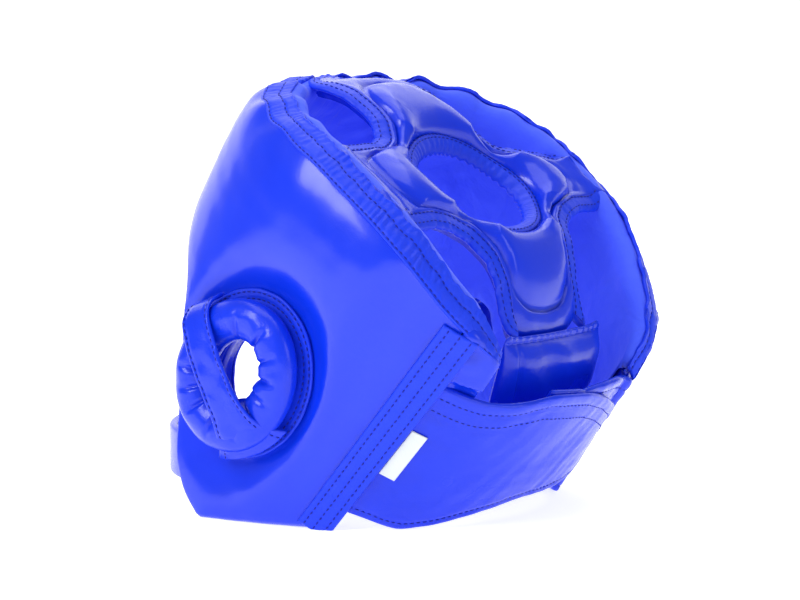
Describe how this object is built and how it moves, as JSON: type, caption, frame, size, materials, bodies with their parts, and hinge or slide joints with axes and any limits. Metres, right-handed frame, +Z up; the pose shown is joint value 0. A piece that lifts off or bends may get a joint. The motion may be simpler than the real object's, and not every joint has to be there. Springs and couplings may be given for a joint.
{
  "type": "martial arts head guard",
  "caption": "Open-face padded head guard of blue vinyl foam with a cross-shaped crown pad, round vent, stuffed ear rings, chin strap and a hook-and-loop rear closure.",
  "frame": {"origin": "on the floor, under the middle of the bounding box, as the guard rests on its jaw edges and rear band", "axes": "+Z up, -Y towards the face opening, +X towards the wearer's left ear"},
  "size_m": [0.2604, 0.2622, 0.2336],
  "materials": {
    "blue_vinyl": "semi-gloss embossed vinyl skin",
    "blue_tape": "satin vinyl binding",
    "lining_cloth": "matte soft vinyl cloth",
    "white_label": "matte woven label"
  },
  "bodies": {
    "root": {"shell_pad": "blue_vinyl", "lining": "lining_cloth", "top_binding": "blue_tape", "crown_pad": "blue_vinyl", "crown_hole_binding": "blue_tape", "rear_tab": "blue_vinyl", "chin_strap": "blue_vinyl", "label_tag": "white_label", "rear_flap_left": "blue_vinyl", "seam_strip_left": "blue_tape", "closure_band_left": "blue_vinyl", "crown_edge_front_left": "blue_tape", "crown_edge_rear_left": "blue_tape", "ear_flange_left": "blue_tape", "ear_ring_left": "blue_vinyl", "ear_strap_left": "blue_vinyl", "rear_flap_right": "blue_vinyl", "seam_strip_right": "blue_tape", "closure_band_right": "blue_vinyl", "crown_edge_front_right": "blue_tape", "crown_edge_rear_right": "blue_tape", "ear_flange_right": "blue_tape", "ear_ring_right": "blue_vinyl", "ear_strap_right": "blue_vinyl"}
  },
  "joints": []
}
